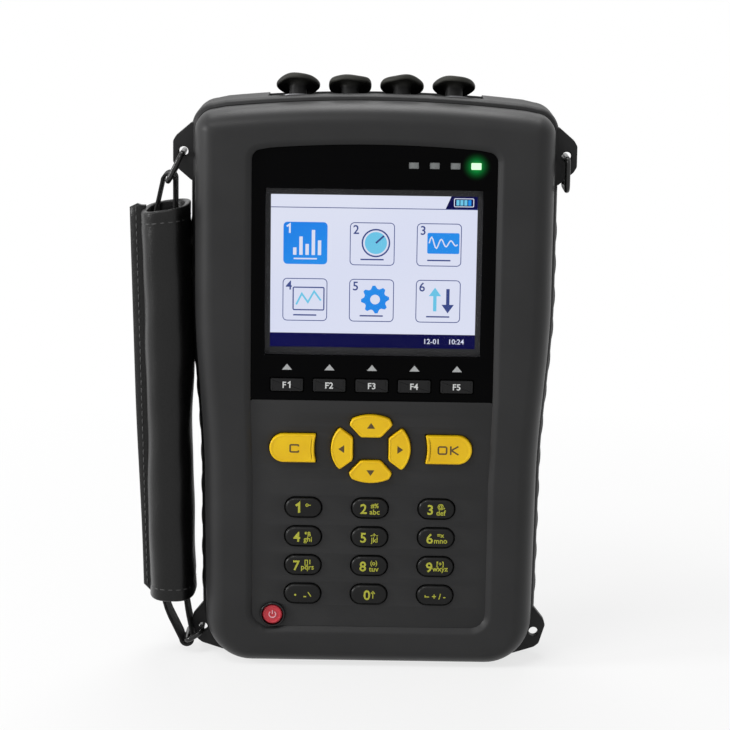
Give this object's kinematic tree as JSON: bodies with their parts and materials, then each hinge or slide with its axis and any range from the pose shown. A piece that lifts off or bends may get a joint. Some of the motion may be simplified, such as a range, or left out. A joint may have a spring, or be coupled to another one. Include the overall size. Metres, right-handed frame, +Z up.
{
  "type": "handheld vibration meter",
  "caption": "Rugged handheld vibration meter with a colour display, yellow arrow keys, a number pad, capped sensor sockets on top and a padded hand strap.",
  "frame": {"origin": "middle of the base, under the case, at mid depth of the case", "axes": "+Z up along the case, the display faces -Y, +X to the right as seen by the user"},
  "size_m": [0.1788, 0.0584, 0.2367],
  "materials": {
    "case_charcoal": "fine satin texture",
    "shell_black": "fine matte texture",
    "grip_rubber": "matte",
    "seal_rubber": "matte",
    "lens_black": "polished",
    "lens_clear": "clear",
    "key_yellow": "satin",
    "key_dark": "satin",
    "fn_black": "polished",
    "legend_olive": "printed",
    "legend_brown": "printed",
    "legend_white": "printed",
    "legend_silver": "printed",
    "power_red": "satin",
    "legend_pink": "printed",
    "ring_black": "polished",
    "cap_rubber": "satin",
    "wire_black": "satin lacquer",
    "webbing_black": "woven",
    "sleeve_leather": "grained",
    "stitch_thread": "twisted thread",
    "screen_light": "lit",
    "screen_bar": "lit",
    "screen_blue": "lit",
    "screen_navy": "lit",
    "screen_ink": "lit",
    "screen_cyan": "lit",
    "bezel_grey": "satin",
    "lamp_green": "lit",
    "lamp_off": "frosted",
    "board_green": "coated",
    "chip_black": "moulded",
    "cable_white": "flat",
    "mat_grey": "matte",
    "battery_blue": "sleeved",
    "steel_plain": "satin",
    "socket_metal": "plated",
    "insert_cream": "moulded"
  },
  "bodies": {
    "case": {"front_shell": "case_charcoal", "rear_shell": "shell_black", "shell_gasket": "seal_rubber", "left_grip": "grip_rubber", "right_grip": "grip_rubber", "display_lens": "lens_black", "lcd_panel": "screen_light", "lcd_frame": "bezel_grey", "status_lights": "lamp_off", "power_ring": "ring_black", "keypad_mat": "mat_grey", "keypad_board": "board_green", "main_board": "board_green", "board_parts": "chip_black", "ribbon_cable": "cable_white", "battery_pack": "battery_blue", "battery_door": "shell_black", "battery_door_screws": "steel_plain", "case_screws": "steel_plain", "buzzer": "chip_black", "input_sockets": "socket_metal", "socket_inserts": "insert_cream", "socket_nuts": "steel_plain"},
    "hand_strap": {"strap_webbing": "webbing_black", "hand_sleeve": "sleeve_leather"},
    "right_ring": {"top_right_ring": "wire_black"},
    "upper_ring": {"top_left_ring": "wire_black"},
    "lower_ring": {"bottom_left_ring": "wire_black"},
    "cap_1": {"dust_cap_1": "cap_rubber"},
    "cap_2": {"dust_cap_2": "cap_rubber"},
    "cap_3": {"dust_cap_3": "cap_rubber"},
    "cap_4": {"dust_cap_4": "cap_rubber"},
    "f1_key_body": {"f1_key": "fn_black"},
    "f2_key_body": {"f2_key": "fn_black"},
    "f3_key_body": {"f3_key": "fn_black"},
    "f4_key_body": {"f4_key": "fn_black"},
    "f5_key_body": {"f5_key": "fn_black"},
    "clear_key_body": {"clear_key": "key_yellow"},
    "enter_key_body": {"enter_key": "key_yellow"},
    "up_key_body": {"up_key": "key_yellow"},
    "down_key_body": {"down_key": "key_yellow"},
    "left_key_body": {"left_key": "key_yellow"},
    "right_key_body": {"right_key": "key_yellow"},
    "key_1_body": {"key_1": "key_dark"},
    "key_2_body": {"key_2": "key_dark"},
    "key_3_body": {"key_3": "key_dark"},
    "key_4_body": {"key_4": "key_dark"},
    "key_5_body": {"key_5": "key_dark"},
    "key_6_body": {"key_6": "key_dark"},
    "key_7_body": {"key_7": "key_dark"},
    "key_8_body": {"key_8": "key_dark"},
    "key_9_body": {"key_9": "key_dark"},
    "key_dot_body": {"key_dot": "key_dark"},
    "key_0_body": {"key_0": "key_dark"},
    "key_sign_body": {"key_sign": "key_dark"},
    "power_button_body": {"power_button": "power_red"}
  },
  "joints": [
    {"name": "hand_strap_pull", "type": "slide", "parent": "case", "child": "hand_strap", "axis": [-0.74, 0, 0.6726], "range_m": [0, 0.0015]},
    {"name": "top_right_ring_swing", "type": "hinge", "parent": "case", "child": "right_ring", "pos_m": [0.07638, -0.005, 0.2066], "axis": [0, 1, 0], "range_deg": [-120, 6]},
    {"name": "top_left_ring_swing", "type": "hinge", "parent": "case", "child": "upper_ring", "pos_m": [-0.07638, -0.005, 0.2066], "axis": [0, 1, 0], "range_deg": [0, 6.6]},
    {"name": "bottom_left_ring_swing", "type": "hinge", "parent": "case", "child": "lower_ring", "pos_m": [-0.0683, -0.005, 0.0096], "axis": [0, 1, 0], "range_deg": [0, 11.2]},
    {"name": "dust_cap_1_pull", "type": "slide", "parent": "case", "child": "cap_1", "axis": [0, 0.342, 0.9397], "range_m": [0, 0.013]},
    {"name": "dust_cap_2_pull", "type": "slide", "parent": "case", "child": "cap_2", "axis": [0, 0.342, 0.9397], "range_m": [0, 0.013]},
    {"name": "dust_cap_3_pull", "type": "slide", "parent": "case", "child": "cap_3", "axis": [0, 0.342, 0.9397], "range_m": [0, 0.013]},
    {"name": "dust_cap_4_pull", "type": "slide", "parent": "case", "child": "cap_4", "axis": [0, 0.342, 0.9397], "range_m": [0, 0.013]},
    {"name": "f1_key_press", "type": "slide", "parent": "case", "child": "f1_key_body", "axis": [0, 1, 0], "range_m": [0, 0.0009], "stiffness_N_per_m": 900, "springref_m": -0.0009},
    {"name": "f2_key_press", "type": "slide", "parent": "case", "child": "f2_key_body", "axis": [0, 1, 0], "range_m": [0, 0.0009], "stiffness_N_per_m": 900, "springref_m": -0.0009},
    {"name": "f3_key_press", "type": "slide", "parent": "case", "child": "f3_key_body", "axis": [0, 1, 0], "range_m": [0, 0.0009], "stiffness_N_per_m": 900, "springref_m": -0.0009},
    {"name": "f4_key_press", "type": "slide", "parent": "case", "child": "f4_key_body", "axis": [0, 1, 0], "range_m": [0, 0.0009], "stiffness_N_per_m": 900, "springref_m": -0.0009},
    {"name": "f5_key_press", "type": "slide", "parent": "case", "child": "f5_key_body", "axis": [0, 1, 0], "range_m": [0, 0.0009], "stiffness_N_per_m": 900, "springref_m": -0.0009},
    {"name": "clear_key_press", "type": "slide", "parent": "case", "child": "clear_key_body", "axis": [0, 1, 0], "range_m": [0, 0.0009], "stiffness_N_per_m": 900, "springref_m": -0.0009},
    {"name": "enter_key_press", "type": "slide", "parent": "case", "child": "enter_key_body", "axis": [0, 1, 0], "range_m": [0, 0.0009], "stiffness_N_per_m": 900, "springref_m": -0.0009},
    {"name": "up_key_press", "type": "slide", "parent": "case", "child": "up_key_body", "axis": [0, 1, 0], "range_m": [0, 0.0009], "stiffness_N_per_m": 900, "springref_m": -0.0009},
    {"name": "down_key_press", "type": "slide", "parent": "case", "child": "down_key_body", "axis": [0, 1, 0], "range_m": [0, 0.0009], "stiffness_N_per_m": 900, "springref_m": -0.0009},
    {"name": "left_key_press", "type": "slide", "parent": "case", "child": "left_key_body", "axis": [0, 1, 0], "range_m": [0, 0.0009], "stiffness_N_per_m": 900, "springref_m": -0.0009},
    {"name": "right_key_press", "type": "slide", "parent": "case", "child": "right_key_body", "axis": [0, 1, 0], "range_m": [0, 0.0009], "stiffness_N_per_m": 900, "springref_m": -0.0009},
    {"name": "key_1_press", "type": "slide", "parent": "case", "child": "key_1_body", "axis": [0, 1, 0], "range_m": [0, 0.0009], "stiffness_N_per_m": 900, "springref_m": -0.0009},
    {"name": "key_2_press", "type": "slide", "parent": "case", "child": "key_2_body", "axis": [0, 1, 0], "range_m": [0, 0.0009], "stiffness_N_per_m": 900, "springref_m": -0.0009},
    {"name": "key_3_press", "type": "slide", "parent": "case", "child": "key_3_body", "axis": [0, 1, 0], "range_m": [0, 0.0009], "stiffness_N_per_m": 900, "springref_m": -0.0009},
    {"name": "key_4_press", "type": "slide", "parent": "case", "child": "key_4_body", "axis": [0, 1, 0], "range_m": [0, 0.0009], "stiffness_N_per_m": 900, "springref_m": -0.0009},
    {"name": "key_5_press", "type": "slide", "parent": "case", "child": "key_5_body", "axis": [0, 1, 0], "range_m": [0, 0.0009], "stiffness_N_per_m": 900, "springref_m": -0.0009},
    {"name": "key_6_press", "type": "slide", "parent": "case", "child": "key_6_body", "axis": [0, 1, 0], "range_m": [0, 0.0009], "stiffness_N_per_m": 900, "springref_m": -0.0009},
    {"name": "key_7_press", "type": "slide", "parent": "case", "child": "key_7_body", "axis": [0, 1, 0], "range_m": [0, 0.0009], "stiffness_N_per_m": 900, "springref_m": -0.0009},
    {"name": "key_8_press", "type": "slide", "parent": "case", "child": "key_8_body", "axis": [0, 1, 0], "range_m": [0, 0.0009], "stiffness_N_per_m": 900, "springref_m": -0.0009},
    {"name": "key_9_press", "type": "slide", "parent": "case", "child": "key_9_body", "axis": [0, 1, 0], "range_m": [0, 0.0009], "stiffness_N_per_m": 900, "springref_m": -0.0009},
    {"name": "key_dot_press", "type": "slide", "parent": "case", "child": "key_dot_body", "axis": [0, 1, 0], "range_m": [0, 0.0009], "stiffness_N_per_m": 900, "springref_m": -0.0009},
    {"name": "key_0_press", "type": "slide", "parent": "case", "child": "key_0_body", "axis": [0, 1, 0], "range_m": [0, 0.0009], "stiffness_N_per_m": 900, "springref_m": -0.0009},
    {"name": "key_sign_press", "type": "slide", "parent": "case", "child": "key_sign_body", "axis": [0, 1, 0], "range_m": [0, 0.0009], "stiffness_N_per_m": 900, "springref_m": -0.0009},
    {"name": "power_button_press", "type": "slide", "parent": "case", "child": "power_button_body", "axis": [0, 1, 0], "range_m": [0, 0.0009], "stiffness_N_per_m": 900, "springref_m": -0.0009}
  ],
  "couplings": [
    {"joint": "top_left_ring_swing", "follows": "hand_strap_pull", "rad_per_m": 75.2},
    {"joint": "bottom_left_ring_swing", "follows": "hand_strap_pull", "rad_per_m": 128}
  ]
}
